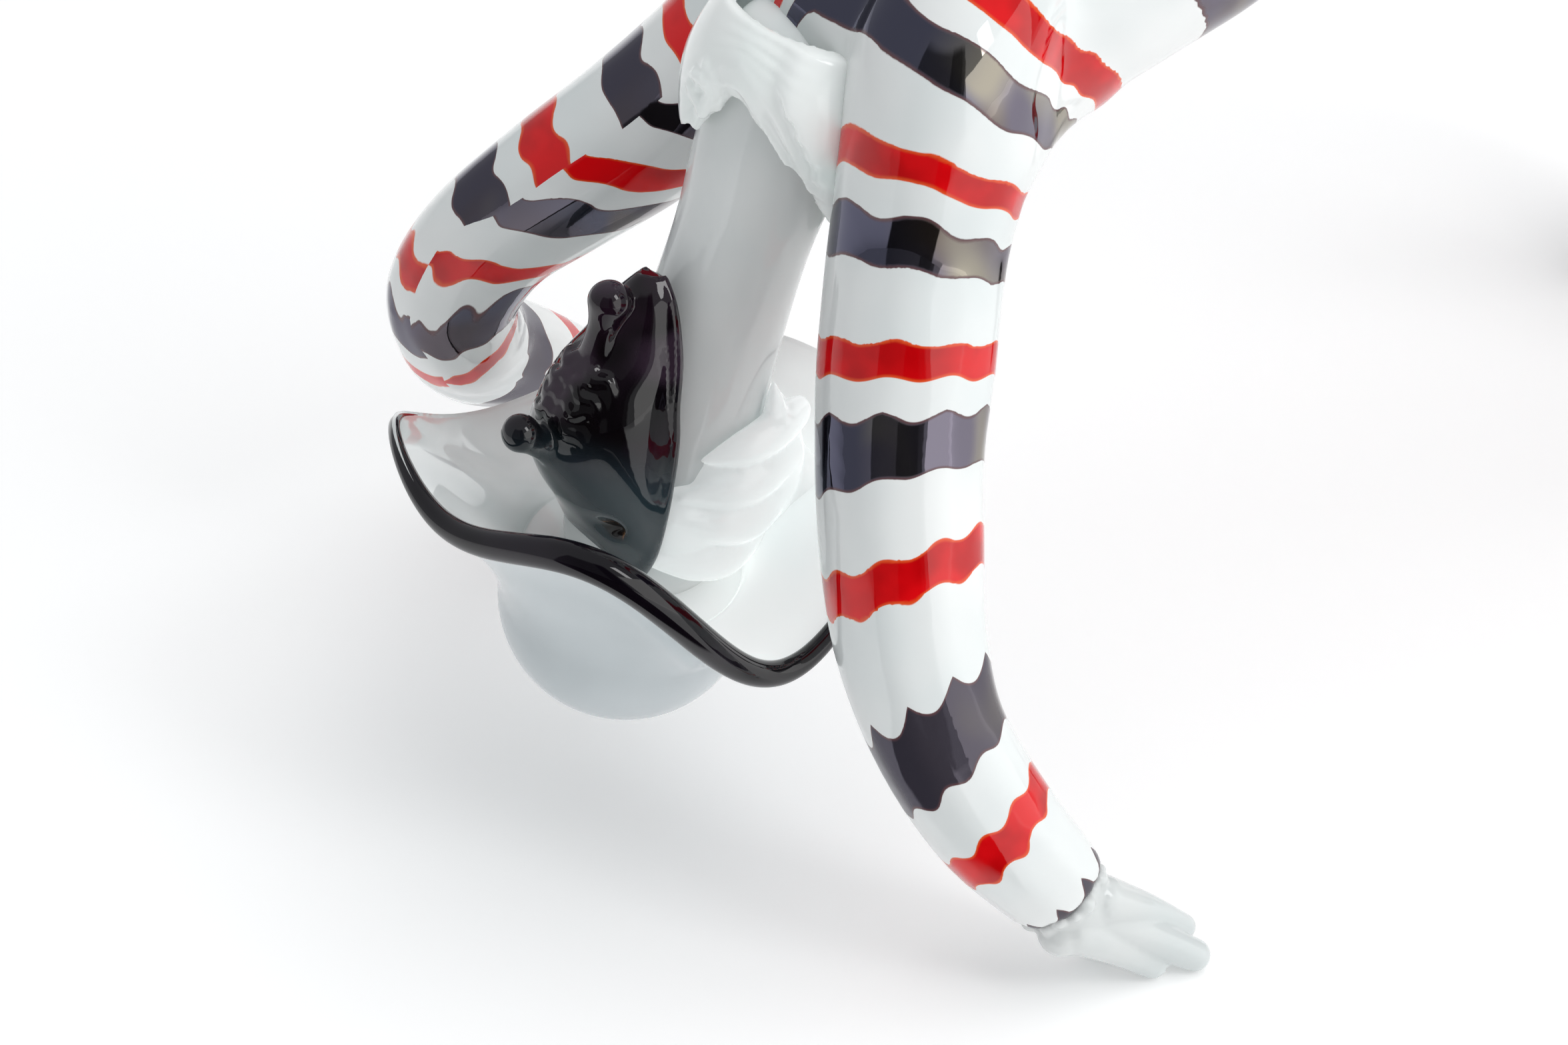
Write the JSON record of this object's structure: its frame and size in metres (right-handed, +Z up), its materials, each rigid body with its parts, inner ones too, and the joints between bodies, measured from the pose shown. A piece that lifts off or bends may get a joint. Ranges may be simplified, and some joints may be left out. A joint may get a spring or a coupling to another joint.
{
  "type": "commedia dell'arte figure",
  "caption": "Hot-worked glass acrobat in a backbend: striped arched body on hands and slippers, upside-down masked head in a wide wavy-brimmed hat.",
  "frame": {"origin": "on the floor, under the middle of the figure's bounding box", "axes": "+X from the hands to the feet, +Y from the nearer arm to the farther arm, +Z up"},
  "size_m": [0.2522, 0.1524, 0.1419],
  "materials": {
    "striped_glass": "glossy opaque white glass with red and violet-black stripes",
    "white_glass": "glossy opaque milk-white glass",
    "hat_glass": "glossy opaque white glass with a grey-green cast",
    "collar_glass": "glossy, slightly translucent white glass",
    "mask_glass": "glossy violet-black glass",
    "black_glass": "glossy black glass"
  },
  "bodies": {
    "root": {"striped_suit": "striped_glass", "near_hand": "white_glass", "far_hand": "white_glass", "near_shoe": "black_glass", "far_shoe": "black_glass", "head": "white_glass", "mask": "mask_glass", "hair": "white_glass", "hat": "hat_glass", "hat_rim": "black_glass", "collar": "collar_glass"}
  },
  "joints": []
}
